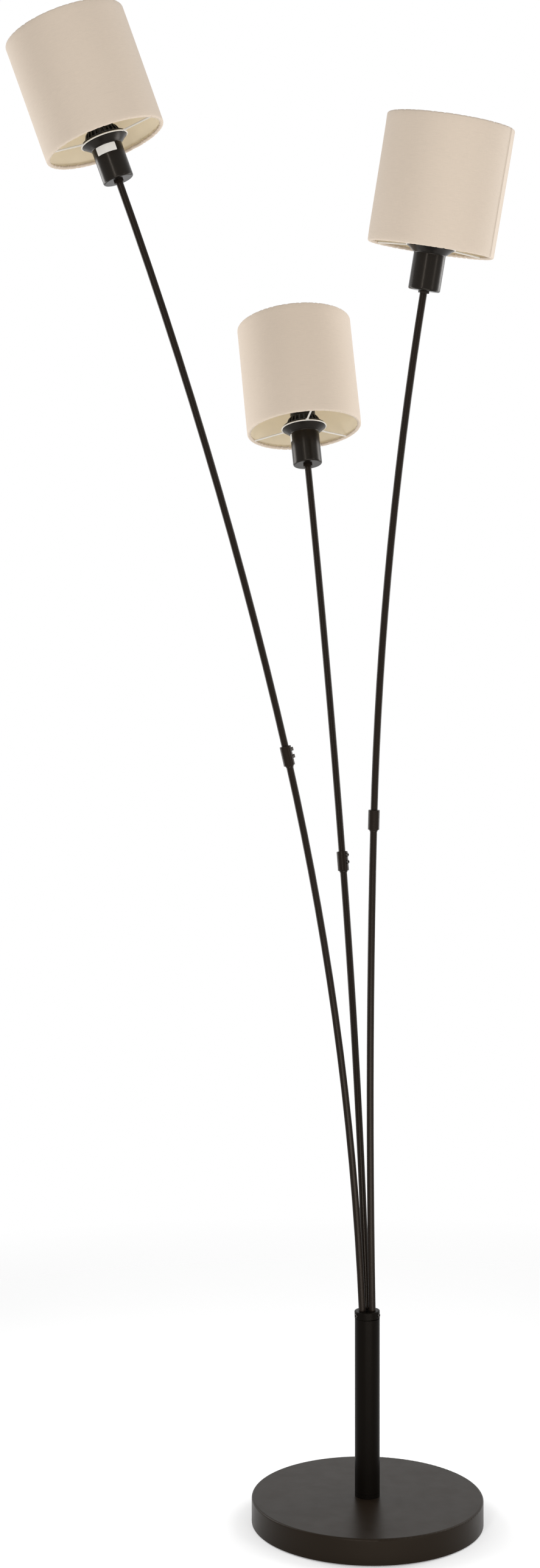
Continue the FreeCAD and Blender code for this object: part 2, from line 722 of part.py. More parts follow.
def make_holder(arm, frames):
    body = new_body(f"{arm}_lamp_holder", frames.seat)
    floor, top, neck = S.holder_floor, S.cup_height, S.cup_neck
    mouth = top + S.sleeve_height
    outer = S.cup_diameter / 2 - S.cup_sheet - S.holder_play
    shoulder = S.cup_rim / 2 - S.cup_sheet - S.shoulder_play
    sleeve = S.sleeve_diameter / 2
    shell = S.shell_diameter / 2 + S.running_play
    socket = mouth - S.socket_depth
    step = mouth - S.shell_length - 1
    lead = S.lead / 2 + 0.3
    revolve(body, [
        (lead, floor),
        (outer - 1, floor),
        (outer, floor + 1),
        (outer, neck + 1.6),
        (shoulder, top - 1),
        (shoulder, top),
        (sleeve, top),
        (sleeve, mouth - S.sleeve_edge),
        (sleeve - S.sleeve_edge, mouth),
        (shell + 0.6, mouth),
        (shell, mouth - 0.6),
        (shell, step),
        (shell - S.shell_step, step),
        (shell - S.shell_step, socket),
        (lead, socket),
    ])
    shell_outer, sheet = S.shell_diameter / 2, S.shell_sheet
    revolve(new_body(f"{arm}_screw_shell", frames.seat), [
        (shell_outer - S.shell_step, step),
        (shell_outer, step),
        (shell_outer, step + S.shell_length),
        (shell_outer - sheet, step + S.shell_length),
        (shell_outer - sheet, step + sheet),
        (shell_outer - S.shell_step, step + sheet),
    ])
    make_contact(arm, frames, socket)


def make_contact(arm, frames, socket):
    """A springy brass strip: flat on the socket's floor, then folded up towards the lamp."""
    body = new_body(f"{arm}_contact", frames.seat)
    side = new_sketch(body, "Fold")
    half, sheet, rise = S.contact_length / 2, S.contact_sheet, S.contact_rise
    outline(side, [
        (-half, socket),
        (half, socket),
        (half, socket + sheet),
        (-half + sheet * 2, socket + sheet),
        (half - 1, socket + rise),
        (half - 1, socket + rise + sheet),
        (-half, socket + sheet),
    ])
    feature = pad(body, side, S.contact_width)
    feature.SideType = "Symmetric"


def make_shade_ring(arm, frames):
    body = new_body(f"{arm}_shade_ring", lifted(frames.seat, (S.cup_height + S.hub_plate).value))
    inner, outer, waist = S.sleeve_diameter / 2 + S.ring_play, S.ring_diameter / 2, S.ring_waist / 2
    flange, top = S.ring_flange, S.ring_height
    revolve(body, [
        (inner, ZERO),
        (outer - 0.4, ZERO),
        (outer, as_size(0.4)),
        (outer, flange - 0.4),
        (outer - 0.4, flange),
        (waist + 3, flange),
        (waist, flange + 3, as_size(3), 1),
        (waist, top - 0.5),
        (waist - 0.5, top),
        (inner, top),
    ])
    rib = new_sketch(body, "Rib")
    outline(rib, [
        (waist - 0.6, flange - 0.4),
        (waist + S.rib_foot, flange - 0.4),
        (waist + S.rib_foot, flange),
        (waist + 0.6, top - 1),
        (waist - 0.6, top - 1),
    ])
    feature = pad(body, rib, S.rib_width)
    feature.SideType = "Symmetric"
    polar(body, feature, S.rib_count, "Ribs")


# ---- shade -------------------------------------------------------------------------

hem_cavity = S.wire / 2 + S.hem_play
hem_outer = hem_cavity + S.shade_cloth
wire_radius = S.shade_diameter / 2 - hem_outer


def shade_frame_at(arm, frames):
    height = (S.cup_height - S.shade_below).value
    return lifted(turned(frames.seat, arm_sizes(arm).shade_turn.value), height)


def hem(height, up):
    """The rolled edge, from the shade's outside round the wire to the inside of its wall."""
    r, outer, inner = wire_radius, hem_outer, hem_cavity
    side = 1 if up > 0 else -1
    return [
        (r, height - outer * up, outer, side),
        (r - outer, height, outer, side),
        (r, height + outer * up, outer, side),
        (r, height + inner * up),
        (r - inner, height, inner, -side),
        (r, height - inner * up, inner, -side),
        (r + inner, height, inner, -side),
    ]


def make_shade_cover(arm, frames):
    body = new_body(f"{arm}_shade_cover", shade_frame_at(arm, frames))
    outer = S.shade_diameter / 2
    low, high = hem_outer, S.shade_height - hem_outer
    top_hem = [(outer, high)] + hem(high, -1)
    bottom_hem = [(outer, low)] + hem(low, 1)
    # the outline runs down the outside, round the lower hem, up the inside and round the upper
    inside_up = [corner_after(c, n) for c, n in zip(top_hem[::-1], [None] + top_hem[::-1][:-1])]
    revolve(body, bottom_hem + inside_up)
    notch = new_sketch(body, "ArmNotch", "XY_Plane", -as_size(1))
    half = S.notch_width / 2
    inside = wire_radius - hem_outer - 1
    outline(notch, [(inside, -half), (wire_radius - 0.3, -half),
                    (wire_radius - 0.3, half), (inside, half)])
    feature = cut(body, notch, hem_outer * 2 + 2, backwards=True, name="Notch")
    polar(body, feature, 3, "ArmNotches")


def corner_after(corner, earlier):
    """The same outline walked the other way: an arc belongs to the corner that it now leads to."""
    if earlier is None or len(earlier) == 2:
        return corner[:2]
    return corner[:2] + (earlier[2], -earlier[3])


def wire_ring(height):
    return Part.makeTorus(wire_radius.value, S.wire.value / 2, FreeCAD.Vector(0, 0, height))


def make_shade_frame(arm, frames):
    place = shade_frame_at(arm, frames)
    low, high = hem_outer.value, (S.shade_height - hem_outer).value
    hub_low = S.shade_below.value
    plate = S.hub_plate.value
    hub_radius = S.hub_diameter.value / 2
    bore = S.sleeve_diameter.value / 2 + S.ring_play.value
    hub = Part.makeCylinder(hub_radius, plate, FreeCAD.Vector(0, 0, hub_low))
    hub = hub.cut(Part.makeCylinder(bore, plate * 3, FreeCAD.Vector(0, 0, hub_low - plate)))
    pieces = [wire_ring(low)]
    tab = S.tab_width.value
    start = FreeCAD.Vector(S.cup_rim.value / 2 + S.tab_clear.value, 0, hub_low + plate / 2)
    finish = FreeCAD.Vector(wire_radius.value, 0, low)
    for i in range(3):
        arm_wire = Part.makeCylinder(S.wire.value / 2, (finish - start).Length, start, finish - start)
        inner = hub_radius - tab / 2
        plate_tab = Part.makeBox(start.x + tab - inner, tab, plate,
                                 FreeCAD.Vector(inner, -tab / 2, hub_low))
        spoke = arm_wire.fuse(plate_tab)
        spoke.rotate(FreeCAD.Vector(0, 0, 0), FreeCAD.Vector(0, 0, 1), 120 * i)
        pieces.append(spoke)
    frame = doc.addObject("Part::Feature", f"{arm}_shade_frame")
    frame.Label = f"{arm}_shade_frame"
    frame.Shape = hub.fuse(pieces)
    frame.Placement = place
    ring = doc.addObject("Part::Feature", f"{arm}_top_ring")
    ring.Label = f"{arm}_top_ring"
    ring.Shape = wire_ring(high)
    ring.Placement = place


# ---- wiring ------------------------------------------------------------------------

block_bottom = column_bottom + S.foot_plug


def make_terminal_block():
    """A round block on the foot's plug, with a hole for each lead."""
    body = new_body("terminal_block", at(0, 0, block_bottom.value))
    tube(body, S.block_diameter, S.stud_bore, ZERO, S.block_height)
    hole = new_sketch(body, "WireHole", "XY_Plane", S.block_height)
    circle(hole, S.block_hole, y=S.rod_circle / 2)
    polar(body, cut(body, hole, S.block_height / 2, name="Wire"), 3, "WireHoles")


def make_lead(arm, frames):
    """The lead from the terminal block up through both rods into the lamp holder."""
    own = arm_sizes(arm)
    tail = (S.cap_height + S.cap_plug + S.rod_tail).value
    low = (block_bottom + S.block_height + S.lead_above_block).value
    rod_end = frames.root.multVec(FreeCAD.Vector(0, 0, -tail))
    lean = frames.root.Rotation.multVec(FreeCAD.Vector(0, 0, 1))
    angle = math.acos(lean.z)
    aside, up = FreeCAD.Vector(lean.x, lean.y, 0).normalize(), FreeCAD.Vector(0, 0, 1)
    radius = S.lead_turn.value / angle

    def below_rod(part):
        """A point on the lead's bend from the rod's lean to the vertical, part of the way down."""
        left = angle * (1 - part)
        return rod_end - (aside * (math.cos(left) - lean.z)
                          + up * (math.sin(angle) - math.sin(left))) * radius

    turn_end = below_rod(1)
    floor = FreeCAD.Vector(turn_end.x, turn_end.y, low)
    half_lower = frames.root.multiply(along_arc(own.lower_bend.value, own.lower_length.value / 2))
    half_upper = frames.upper.multiply(along_arc(own.upper_bend.value, own.upper_length.value / 2))
    top = frames.seat.multVec(FreeCAD.Vector(0, 0, (S.holder_floor + 12).value))
    edges = [
        Part.LineSegment(floor, turn_end),
        Part.Arc(turn_end, below_rod(0.5), rod_end),
        Part.LineSegment(rod_end, frames.root.Base),
        Part.Arc(frames.root.Base, half_lower.Base, frames.coupling.Base),
        Part.Arc(frames.coupling.Base, half_upper.Base, frames.seat.Base),
        Part.LineSegment(frames.seat.Base, top),
    ]
    path = Part.Wire([e.toShape() for e in edges])
    section = Part.Wire(Part.makeCircle(S.lead.value / 2, floor, FreeCAD.Vector(0, 0, 1)))
    lead = doc.addObject("Part::Feature", f"{arm}_lead")
    lead.Label = f"{arm}_lead"
    lead.Shape = path.makePipeShell([section], True, False)
    expected = math.pi / 4 * S.lead.value**2 * path.Length
    if abs(lead.Shape.Volume / expected - 1) > 0.002:
        raise RuntimeError(f"{arm}_lead: volume {lead.Shape.Volume:.0f}, expected {expected:.0f}")


# ---- assembly ----------------------------------------------------------------------


def make_arm(arm):
    frames = arm_frames(arm)
    make_lower_rod(arm, frames)
    make_coupling(arm, frames)
    make_upper_rod(arm, frames)
    make_cup(arm, frames)
    make_holder(arm, frames)
    make_shade_ring(arm, frames)
    make_shade_frame(arm, frames)
    make_shade_cover(arm, frames)
    make_lead(arm, frames)


def sub_parts():
    kinds = ("PartDesign::Body", "Part::Feature")
    return [o for o in doc.Objects if o.TypeId in kinds and o.getParentGeoFeatureGroup() is None]


def check_document():
    for item in doc.Objects:
        if {"Invalid", "Error"} & set(item.State):
            raise RuntimeError(f"{item.Label} failed: {item.State}")
    for item in sub_parts():
        if item.Shape.isNull() or not item.Shape.isValid():
            raise RuntimeError(f"{item.Label} has no valid shape")


def write_parts():
    os.makedirs("parts", exist_ok=True)
    for item in sub_parts():
        item.Shape.exportStep(f"parts/{item.Label}.step")
        print(f"{item.Label:24s} {len(item.Shape.Solids)} solids {item.Shape.Volume:12.1f} mm3")


make_base_cover()
make_base_weight()
make_base_pad()
make_stud_and_nut()
make_inlet_grommet()
make_column()
make_column_cap()
make_cap_screws()
make_terminal_block()
for name in ARMS:
    make_arm(name)
doc.recompute()
check_document()
write_parts()
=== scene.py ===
import math

import bpy
import numpy as np
from mathutils import Matrix, Vector


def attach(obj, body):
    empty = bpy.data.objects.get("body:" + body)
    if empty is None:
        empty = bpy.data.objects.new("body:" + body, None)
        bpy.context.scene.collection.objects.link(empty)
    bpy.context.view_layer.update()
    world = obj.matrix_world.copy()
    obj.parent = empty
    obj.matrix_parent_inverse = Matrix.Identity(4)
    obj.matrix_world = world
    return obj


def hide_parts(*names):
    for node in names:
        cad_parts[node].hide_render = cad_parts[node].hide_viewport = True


bl_info = {
    "name": "Tree Floor Lamp",
    "version": (1, 0, 0),
    "blender": (4, 5, 0),
    "location": "View3D > Sidebar > Floor Lamp",
    "description": "Cloth shades, finishes and a plain studio for a tree floor lamp",
    "category": "Object",
}

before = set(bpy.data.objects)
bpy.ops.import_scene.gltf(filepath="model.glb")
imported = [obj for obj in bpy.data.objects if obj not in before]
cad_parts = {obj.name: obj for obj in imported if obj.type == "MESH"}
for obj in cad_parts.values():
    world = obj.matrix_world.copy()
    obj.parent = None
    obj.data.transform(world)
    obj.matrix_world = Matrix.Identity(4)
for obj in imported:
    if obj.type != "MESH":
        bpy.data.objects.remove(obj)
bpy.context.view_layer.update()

# The lamp stands on the floor at the origin, +Z up, its front towards -Y. Lengths are in metres.
ARMS = ("left", "right", "middle")
MM = 0.001


# ---- where things are on the lamp --------------------------------------------------


def corners_of(node):
    """The corners of a node's mesh, each place once."""
    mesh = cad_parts[node].data
    co = np.empty(len(mesh.vertices) * 3)
    mesh.vertices.foreach_get("co", co)
    return np.unique(co.reshape(-1, 3).round(6), axis=0)


def middle_of_ring(node):
    return Vector(corners_of(node).mean(axis=0))


def arm_axis(arm):
    """The frame of an arm's shade: its origin at the lower rim's middle, +Z along the shade."""
    top = middle_of_ring(f"{arm}_top_ring")
    up = (top - middle_of_ring(f"{arm}_screw_shell")).normalized()
    reach = (corners_of(f"{arm}_shade_cover") - np.array(top)) @ np.array(up)
    front = Vector((0, -1, 0))
    side = up.cross(front).normalized()
    turn = Matrix((side.cross(up), side, up)).transposed()
    return Matrix.Translation(top + up * float(reach.min())) @ turn.to_4x4()


def height_of(node, place):
    """The lowest and highest point of a node along a frame's Z axis, and its largest radius."""
    inside = np.array(place.inverted())
    local = corners_of(node) @ inside[:3, :3].T + inside[:3, 3]
    return local[:, 2].min(), local[:, 2].max(), np.hypot(local[:, 0], local[:, 1]).max()


# ---- sizes and colours -------------------------------------------------------------


class ShadeSettings(bpy.types.PropertyGroup):
    wall: bpy.props.FloatProperty(
        name="Wall", description="Cloth and lining together", default=0.8 * MM, unit="LENGTH")
    roll: bpy.props.FloatProperty(
        name="Roll", description="Radius of the cloth rolled round each wire",
        default=1.9 * MM, unit="LENGTH")
    turn_in: bpy.props.FloatProperty(
        name="Turn-in", description="Height of the cloth folded to the inside",
        default=5 * MM, unit="LENGTH")
    tucks: bpy.props.IntProperty(
        name="Tucks", description="Small tucks round each folded edge", default=54)
    tuck_height: bpy.props.FloatProperty(
        name="Tuck height", description="How far a tuck stands out", default=1.3 * MM,
        unit="LENGTH")
    lap: bpy.props.FloatProperty(
        name="Lap", description="Height of the lapped edge at the seam", default=0.7 * MM,
        unit="LENGTH")
    lap_width: bpy.props.FloatProperty(
        name="Lap width", description="Width of the doubled strip at the seam",
        default=12 * MM, unit="LENGTH")
    cloth: bpy.props.FloatVectorProperty(
        name="Cloth", description="Colour of the woven outside", subtype="COLOR", size=3,
        default=(0.645, 0.542, 0.44))
    lining: bpy.props.FloatVectorProperty(
        name="Lining", description="Colour of the smooth inside", subtype="COLOR", size=3,
        default=(0.95, 0.85, 0.665))


class FinishSettings(bpy.types.PropertyGroup):
    coat: bpy.props.FloatVectorProperty(
        name="Coat", description="Powder coat of column and cups", subtype="COLOR",
        size=3, default=(0.0042, 0.0034, 0.0027))
    rods: bpy.props.FloatVectorProperty(
        name="Rods", description="Powder coat of rods and couplings", subtype="COLOR",
        size=3, default=(0.0105, 0.0072, 0.0052))
    base: bpy.props.FloatVectorProperty(
        name="Base", description="Powder coat of the base cover", subtype="COLOR", size=3,
        default=(0.0115, 0.0078, 0.0048))
    plastic: bpy.props.FloatVectorProperty(
        name="Plastic", description="Moulded lamp holders and shade rings", subtype="COLOR",
        size=3, default=(0.006, 0.0055, 0.005))
    wire: bpy.props.FloatVectorProperty(
        name="Wire", description="Coated wire frame of the shades", subtype="COLOR", size=3,
        default=(0.72, 0.69, 0.64))
    plate: bpy.props.FloatVectorProperty(
        name="Plate", description="Blank plates on the cups", subtype="COLOR", size=3,
        default=(0.78, 0.77, 0.75))


class FittingSettings(bpy.types.PropertyGroup):
    grips: bpy.props.IntProperty(
        name="Grips", description="Small ribs round the flange of a shade ring", default=72)
    grip_size: bpy.props.FloatProperty(
        name="Grip size", description="Thickness of one rib", default=0.7 * MM, unit="LENGTH")
    thread_pitch: bpy.props.FloatProperty(
        name="Thread pitch", description="Distance between the sleeve's thread turns",
        default=2.4 * MM, unit="LENGTH")
    thread_size: bpy.props.FloatProperty(
        name="Thread size", description="Thickness of a thread turn", default=0.9 * MM,
        unit="LENGTH")
    hub_wire: bpy.props.FloatProperty(
        name="Hub wire", description="Thickness of the wire ring round a cup's rim",
        default=1.5 * MM, unit="LENGTH")
    plate_width: bpy.props.FloatProperty(
        name="Plate width", description="Plate's length round the cup", default=22.5 * MM,
        unit="LENGTH")
    plate_height: bpy.props.FloatProperty(
        name="Plate height", description="Height of a plate", default=8.6 * MM, unit="LENGTH")


class StageSettings(bpy.types.PropertyGroup):
    eye: bpy.props.FloatVectorProperty(
        name="Camera", description="Where the camera stands", size=3, subtype="TRANSLATION",
        default=(-0.1052, -2.1345, 0.797))
    lens: bpy.props.FloatProperty(
        name="Lens", description="Focal length in millimetres, 36 mm sensor", default=45.32)
    key: bpy.props.FloatProperty(
        name="Key light", description="Power of the main softbox", default=11, unit="POWER")
    fill: bpy.props.FloatProperty(
        name="Fill light", description="Power of the softbox opposite", default=7, unit="POWER")
    low: bpy.props.FloatProperty(
        name="Low light", description="Power of the light that reaches into the shades",
        default=15, unit="POWER")
    rim: bpy.props.FloatProperty(
        name="Rim light", description="Power of each light behind the lamp", default=9,
        unit="POWER")
    sky: bpy.props.FloatProperty(
        name="Sky", description="Strength of the even light from all sides", default=0.52)
    paper: bpy.props.FloatVectorProperty(
        name="Paper", description="Colour of floor and backdrop", subtype="COLOR", size=3,
        default=(0.93, 0.93, 0.93))
    glow: bpy.props.FloatProperty(
        name="Paper glow", description="Lifts the paper to white where it is seen", default=0.24)


# ---- materials ---------------------------------------------------------------------


class Finish:
    """A material under construction, and short names for the nodes that it uses."""

    def __init__(self, name):
        self.material = bpy.data.materials.new(name)
        self.material.use_nodes = True
        self.tree = self.material.node_tree
        self.shader = self.tree.nodes["Principled BSDF"]
        self.place = self.add("ShaderNodeTexCoord")

    def add(self, kind, **inputs):
        node = self.tree.nodes.new(kind)
        for name, value in inputs.items():
            self.feed(node, name.replace("_", " "), value)
        return node

    def feed(self, node, name, value):
        if isinstance(value, bpy.types.NodeSocket):
            self.tree.links.new(value, node.inputs[name])
        else:
            node.inputs[name].default_value = value

    def set(self, **inputs):
        for name, value in inputs.items():
            self.feed(self.shader, name.replace("_", " "), value)

    def stretched(self, scale, source="Object"):
        """Coordinates multiplied by a scale of their own in each direction."""
        node = self.add("ShaderNodeMapping", Scale=scale)
        self.tree.links.new(self.place.outputs[source], node.inputs["Vector"])
        return node.outputs["Vector"]

    def noise(self, scale, detail=3.0, source="Object", stretch=(1, 1, 1)):
        node = self.add("ShaderNodeTexNoise", Scale=scale, Detail=detail,
                        Vector=self.stretched(stretch, source))
        return node.outputs["Fac"]

    def between(self, factor, low, high, from_low=0.3, from_high=0.7):
        node = self.add("ShaderNodeMapRange")
        for name, value in (("Value", factor), ("From Min", from_low), ("From Max", from_high),
                            ("To Min", low), ("To Max", high)):
            self.feed(node, name, value)
        return node.outputs["Result"]

    def blend(self, factor, first, second):
        node = self.tree.nodes.new("ShaderNodeMix")
        node.data_type = "RGBA"
        self.feed(node, 0, factor)
        self.feed(node, 6, first)
        self.feed(node, 7, second)
        return node.outputs[2]

    def bump(self, height, distance, strength=1.0, below=None):
        node = self.add("ShaderNodeBump", Height=height, Distance=distance, Strength=strength)
        if below is not None:
            self.tree.links.new(below, node.inputs["Normal"])
        return node.outputs["Normal"]


def shade_of(colour, factor):
    return tuple(min(c * factor, 1.0) for c in colour) + (1.0,)


def powder_coat(name, colour, roughness, gloss, spread=0.1):
    """Baked powder coat: a fine orange peel and a slightly uneven gloss."""
    f = Finish(name)
    cloudy = f.noise(14, 2)
    f.set(Base_Color=f.blend(cloudy, shade_of(colour, 1 - spread), shade_of(colour, 1 + spread)),
          Roughness=f.between(f.noise(55, 4), roughness - 0.02, roughness + 0.03),
          Specular_IOR_Level=gloss, Specular_Tint=(1.0, 0.88, 0.76, 1))
    f.set(Normal=f.bump(f.noise(1900, 2), 0.00003, 0.35))
    return f.material


def moulded(name, colour, roughness, grain=900):
    """Moulded plastic or rubber with a faint sparked grain."""
    f = Finish(name)
    f.set(Base_Color=f.blend(f.noise(30, 3), shade_of(colour, 0.85), shade_of(colour, 1.15)),
          Roughness=f.between(f.noise(70, 3), roughness - 0.05, roughness + 0.05),
          Specular_IOR_Level=0.3)
    f.set(Normal=f.bump(f.noise(grain, 3), 0.00005, 0.4))
    return f.material


def bare_metal(name, colour, roughness, grain=(1, 1, 1)):
    """Plated or pressed metal with fine marks along one direction."""
    f = Finish(name)
    marks = f.noise(700, 4, stretch=grain)
    f.set(Base_Color=f.blend(marks, shade_of(colour, 0.86), shade_of(colour, 1.08)),
          Metallic=1.0, Roughness=f.between(marks, roughness - 0.06, roughness + 0.1))
    f.set(Normal=f.bump(marks, 0.00002, 0.3))
    return f.material


def cast_iron(name):
    f = Finish(name)
    pits = f.noise(420, 6)
    f.set(Base_Color=f.blend(pits, (0.028, 0.027, 0.026, 1), (0.075, 0.07, 0.066, 1)),
          Metallic=0.5, Roughness=f.between(pits, 0.62, 0.85))
    f.set(Normal=f.bump(pits, 0.0004, 0.7))
    return f.material


def foam(name):
    f = Finish(name)
    cells = f.add("ShaderNodeTexVoronoi", Scale=900.0, Vector=f.stretched((1, 1, 1)))
    size = cells.outputs["Distance"]
    f.set(Base_Color=f.blend(size, (0.012, 0.012, 0.012, 1), (0.045, 0.044, 0.042, 1)),
          Roughness=0.95)
    f.set(Normal=f.bump(size, 0.0003, 0.6))
    return f.material


def woven_cloth(name, colour, lap_width):
    """Plain weave: uneven threads both ways, read from the cover's own UV map in metres."""
    f = Finish(name)
    weft = f.noise(1, 3, "UV", (130, 2600, 1))
    warp = f.noise(1, 3, "UV", (2600, 130, 1))
    slub = f.noise(1, 2, "UV", (38, 900, 1))
    cloud = f.noise(9, 2)
    tone = f.blend(f.between(weft, 0, 1), shade_of(colour, 0.94), shade_of(colour, 1.05))
    tone = f.blend(f.between(warp, 0, 0.5), tone, shade_of(colour, 1.07))
    tone = f.blend(f.between(slub, 0, 0.4, 0.55, 0.8), tone, shade_of(colour, 0.9))
    tone = f.blend(f.between(cloud, 0, 0.35), tone, shade_of(colour, 0.95))
    # the lapped strip is doubled and lighter; just past the seam a thin dark line of painted shadow
    # stands for the shade under the raised lap edge
    past_seam = f.add("ShaderNodeSeparateXYZ", Vector=f.place.outputs["UV"]).outputs["X"]
    doubled = f.between(past_seam, 0.75, 0, lap_width - 3 * MM, lap_width)
    # painted shadow: the cloth darkens to half in a thin line just past the seam
    painted_seam_shadow = f.between(past_seam, 0.8, 0, 0.5 * MM, 1.0 * MM)
    tone = f.blend(doubled, tone, shade_of(colour, 1.08))
    tone = f.blend(painted_seam_shadow, tone, shade_of(colour, 0.5))
    f.set(Base_Color=tone, Roughness=0.92, Specular_IOR_Level=0.25, Sheen_Weight=0.18,
          Sheen_Roughness=0.5)
    across = f.bump(weft, 0.00012, 0.5)
    f.set(Normal=f.bump(warp, 0.00012, 0.5, across))
    return f.material


def smooth_lining(name, colour):
    """The stiff lining inside: smooth, a little darker where the glue soaked in."""
    f = Finish(name)
    stain = f.noise(1, 3, "UV", (30, 60, 1))
    fibre = f.noise(1, 4, "UV", (1500, 1500, 1))
    tone = f.blend(f.between(stain, 0, 0.5), shade_of(colour, 1.02), shade_of(colour, 0.93))
    f.set(Base_Color=f.blend(f.between(fibre, 0, 0.4), tone, shade_of(colour, 0.96)),
          Roughness=f.between(stain, 0.55, 0.68))
    f.set(Normal=f.bump(fibre, 0.00005, 0.4))
    return f.material


# ---- mesh and geometry-node helpers ------------------------------------------------


def new_piece(name, mesh, body):
    piece = bpy.data.objects.new(name, mesh)
    bpy.context.scene.collection.objects.link(piece)
    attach(piece, body)
    return piece


def smooth(mesh):
    mesh.polygons.foreach_set("use_smooth", [True] * len(mesh.polygons))
    mesh.update()


def lathe(name, points, place, lengths):
    """A closed surface from rings of points: points is [ring, step, xyz]; lengths fill its UVs."""
    rings, steps = points.shape[:2]
    ring, step = np.meshgrid(np.arange(rings), np.arange(steps), indexing="ij")
    next_ring, next_step = (ring + 1) % rings * steps, (step + 1) % steps
    ring_start = ring * steps
    faces = np.stack([ring_start + step, next_ring + step, next_ring + next_step,
                      ring_start + next_step], axis=-1)
    mesh = bpy.data.meshes.new(name)
    mesh.from_pydata(points.reshape(-1, 3).tolist(), [], faces.reshape(-1, 4).tolist())
    across, along = lengths
    u = np.stack([across[step], across[step], across[step + 1], across[step + 1]], axis=-1)
    v = np.stack([along[ring], along[ring + 1], along[ring + 1], along[ring]], axis=-1)
    mesh.uv_layers.new(name="Weave").data.foreach_set("uv", np.stack([u, v], axis=-1).ravel())
    mesh.transform(place)
    smooth(mesh)
    return mesh


class Tree:
    """A geometry-node tree with named inputs."""

    def __init__(self, name, sizes):
        self.group = bpy.data.node_groups.new(name, "GeometryNodeTree")
        self.sizes = {}
        for label, (kind, value) in sizes.items():
            socket = self.group.interface.new_socket(label, in_out="INPUT", socket_type=kind)
            if value is not None:
                socket.default_value = value
            self.sizes[label] = socket.identifier
        self.group.interface.new_socket("Geometry", in_out="OUTPUT",
                                        socket_type="NodeSocketGeometry")
        self.inputs = self.group.nodes.new("NodeGroupInput")

    def add(self, kind, options=None, **links):
        node = self.group.nodes.new(kind)
        for name, value in (options or {}).items():
            setattr(node, name, value)
        for name, value in links.items():
            self.feed(node, name.replace("_", " "), value)
        return node

    def feed(self, node, name, value):
        if isinstance(value, bpy.types.NodeSocket):
            self.group.links.new(value, node.inputs[name])
        else:
            node.inputs[name].default_value = value

    def size(self, label):
        return self.inputs.outputs[label]

    def half(self, label):
        node = self.add("ShaderNodeMath", {"operation": "MULTIPLY"})
        self.group.links.new(self.size(label), node.inputs[0])
        node.inputs[1].default_value = 0.5
        return node.outputs[0]

    def finish(self, geometry):
        real = self.add("GeometryNodeRealizeInstances", Geometry=geometry)
        coated = self.add("GeometryNodeSetMaterial", Geometry=real.outputs["Geometry"],
                          Material=self.size("Material"))
        end = self.group.nodes.new("NodeGroupOutput")
        self.group.links.new(coated.outputs["Geometry"], end.inputs["Geometry"])

    def build(self, name, place, values):
        """The tree's result as a plain mesh at its place on the lamp."""
        carrier = bpy.data.objects.new(name + "_carrier", bpy.data.meshes.new(name + "_carrier"))
        bpy.context.scene.collection.objects.link(carrier)
        modifier = carrier.modifiers.new("Tree", "NODES")
        modifier.node_group = self.group
        for label, value in values.items():
            modifier[self.sizes[label]] = value
        bpy.context.view_layer.update()
        ready = carrier.evaluated_get(bpy.context.evaluated_depsgraph_get())
        mesh = bpy.data.meshes.new_from_object(ready)
        carrier.modifiers.remove(modifier)
        bpy.data.objects.remove(carrier)
        mesh.name = name
        mesh.transform(place)
        smooth(mesh)
        return mesh


def grip_tree():
    """Small upright ribs in a ring."""
    tree = Tree("Grips round a ring", {
        "Radius": ("NodeSocketFloat", 0.02), "Count": ("NodeSocketInt", 60),
        "Thickness": ("NodeSocketFloat", 0.001), "Height": ("NodeSocketFloat", 0.002),
        "Material": ("NodeSocketMaterial", None)})
    ring = tree.add("GeometryNodeMeshCircle", Vertices=tree.size("Count"),
                    Radius=tree.size("Radius"))
    rib = tree.add("GeometryNodeMeshCylinder", Vertices=8, Radius=tree.half("Thickness"),
                   Depth=tree.size("Height"))
    copies = tree.add("GeometryNodeInstanceOnPoints", Points=ring.outputs["Mesh"],
                      Instance=rib.outputs["Mesh"])
    tree.finish(copies.outputs["Instances"])
    return tree


def thread_tree():
    """One turn of ridge after another round a sleeve."""
    tree = Tree("Thread round a sleeve", {
        "Radius": ("NodeSocketFloat", 0.014), "Turns": ("NodeSocketFloat", 4.0),
        "Thickness": ("NodeSocketFloat", 0.001), "Height": ("NodeSocketFloat", 0.01),
        "Material": ("NodeSocketMaterial", None)})
    path = tree.add("GeometryNodeCurveSpiral", Resolution=72, Rotations=tree.size("Turns"),
                    Start_Radius=tree.size("Radius"), End_Radius=tree.size("Radius"),
                    Height=tree.size("Height"))
    section = tree.add("GeometryNodeCurvePrimitiveCircle", Resolution=8,
                       Radius=tree.half("Thickness"))
    ridge = tree.add("GeometryNodeCurveToMesh", Curve=path.outputs["Curve"],
                     Profile_Curve=section.outputs["Curve"], Fill_Caps=True)
    tree.finish(ridge.outputs["Mesh"])
    return tree


# ---- the shades --------------------------------------------------------------------


# the direction in which each cover's seam faces, as a turn from the front about the shade
SEAMS = {"left": 176, "right": 65, "middle": 160}
STEPS = 720


